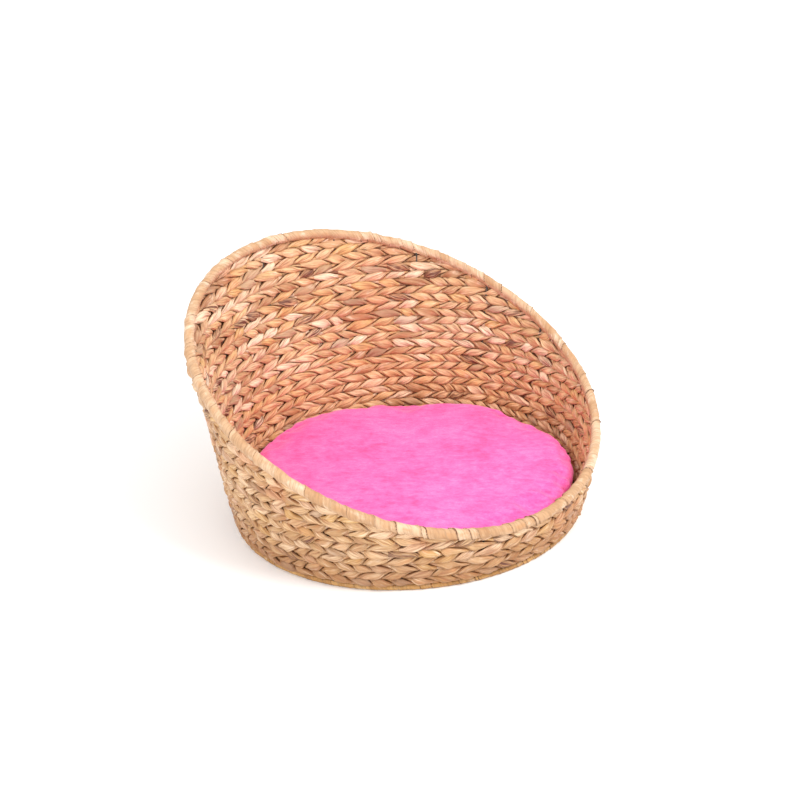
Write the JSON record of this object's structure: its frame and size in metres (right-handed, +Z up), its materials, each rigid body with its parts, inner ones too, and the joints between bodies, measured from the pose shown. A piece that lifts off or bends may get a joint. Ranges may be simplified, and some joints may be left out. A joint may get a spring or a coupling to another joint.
{
  "type": "wicker pet bed basket",
  "caption": "Oval woven pet bed basket with a flared wall, high back, low front, bound rim and a loose pink cushion.",
  "frame": {"origin": "on the floor the basket stands on, under the middle of its oval base, in the plane of the foot's flat underside", "axes": "+X to the side along the base's longer axis, +Y to the high back so -Y is the low front, +Z up"},
  "size_m": [0.5008, 0.4568, 0.2657],
  "materials": {
    "woven_hyacinth": "matte",
    "rim_strip": "satin",
    "foot_strip": "matte",
    "steel_wire": "satin",
    "pink_velour": "matte",
    "wadding": "matte"
  },
  "bodies": {
    "basket": {"rim_hoop": "steel_wire", "rim_binding": "rim_strip", "base_ring": "steel_wire", "foot_binding": "foot_strip", "hub_ring": "steel_wire", "floor_weave_upper": "woven_hyacinth", "floor_weave_under": "woven_hyacinth", "course_01": "woven_hyacinth", "course_02": "woven_hyacinth", "course_03": "woven_hyacinth", "course_04": "woven_hyacinth", "course_05": "woven_hyacinth", "course_06": "woven_hyacinth", "course_07": "woven_hyacinth", "course_08": "woven_hyacinth", "course_09": "woven_hyacinth", "course_10": "woven_hyacinth", "course_11": "woven_hyacinth", "course_12": "woven_hyacinth", "course_13": "woven_hyacinth", "course_14": "woven_hyacinth", "course_15": "woven_hyacinth", "course_16": "woven_hyacinth", "course_17": "woven_hyacinth", "course_18": "woven_hyacinth", "course_19": "woven_hyacinth", "course_20": "woven_hyacinth", "course_21": "woven_hyacinth", "course_22": "woven_hyacinth", "course_23": "woven_hyacinth", "course_24": "woven_hyacinth", "course_25": "woven_hyacinth", "course_26": "woven_hyacinth", "rib_01": "steel_wire", "rib_02": "steel_wire", "rib_03": "steel_wire", "rib_04": "steel_wire", "rib_05": "steel_wire", "rib_06": "steel_wire", "rib_07": "steel_wire", "rib_08": "steel_wire", "rib_09": "steel_wire", "rib_10": "steel_wire", "rib_11": "steel_wire", "rib_12": "steel_wire", "rib_13": "steel_wire", "rib_14": "steel_wire", "rib_15": "steel_wire", "rib_16": "steel_wire"},
    "cushion": {"cushion_top_panel": "pink_velour", "cushion_base_panel": "pink_velour", "cushion_filling": "wadding"}
  },
  "joints": [
    {"name": "cushion_lift", "type": "slide", "parent": "basket", "child": "cushion", "axis": [0, 0, 1], "range_m": [0, 0.35]}
  ]
}
